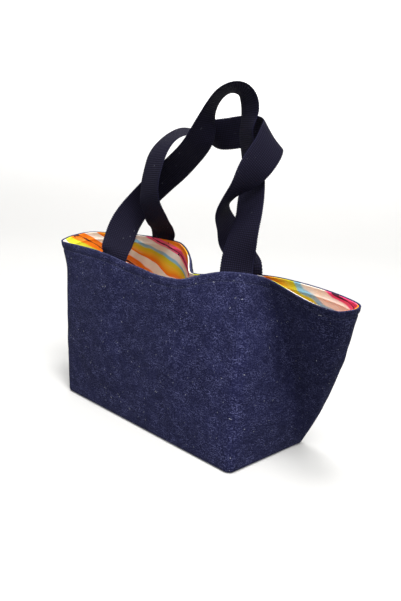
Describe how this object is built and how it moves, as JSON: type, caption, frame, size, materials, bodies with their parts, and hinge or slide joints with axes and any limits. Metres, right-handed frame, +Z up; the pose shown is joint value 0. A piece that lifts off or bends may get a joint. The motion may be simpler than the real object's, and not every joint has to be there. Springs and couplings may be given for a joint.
{
  "type": "denim tote bag",
  "caption": "Soft denim tote bag with a flat boxed base, a sagging open mouth, a printed cotton lining and interlaced webbing handles sewn into the topstitched rim.",
  "frame": {"origin": "middle of the base's underside, on the surface the bag stands on", "axes": "+Z up, +X along the long side towards the right tip of the mouth, -Y towards the front"},
  "size_m": [0.4479, 0.1398, 0.4122],
  "materials": {
    "denim": "dark indigo slubby twill, matt",
    "interlining": "undyed stiff nonwoven, matt",
    "base_board": "plain grey sheet",
    "lining": "printed cotton, matt",
    "thread": "navy sewing thread",
    "webbing": "navy ribbed webbing, slight sheen"
  },
  "bodies": {
    "bag": {"front_panel": "denim", "back_panel": "denim", "base_panel": "denim", "front_interlining": "interlining", "back_interlining": "interlining", "base_board": "base_board", "front_lining": "lining", "back_lining": "lining", "base_lining": "lining", "front_rim_topstitch": "thread", "back_rim_topstitch": "thread", "front_strap_left_tail": "webbing", "front_strap_right_tail": "webbing", "back_strap_left_tail": "webbing", "back_strap_right_tail": "webbing"},
    "front_handle": {"front_strap": "webbing"},
    "back_handle": {"back_strap": "webbing"}
  },
  "joints": [
    {"name": "front_strap_swing", "type": "hinge", "parent": "bag", "child": "front_handle", "pos_m": [-0.00078, -0.02256, 0.1997], "axis": [0.9678, 0.2457, 0.0552], "range_deg": [-7, 7], "stiffness_Nm_per_rad": 0.5},
    {"name": "back_strap_swing", "type": "hinge", "parent": "bag", "child": "back_handle", "pos_m": [0.00072, 0.02491, 0.20574], "axis": [0.9904, -0.1288, -0.05], "range_deg": [-7, 7], "stiffness_Nm_per_rad": 0.5}
  ],
  "couplings": [
    {"joint": "back_strap_swing", "follows": "front_strap_swing", "ratio": 1}
  ]
}
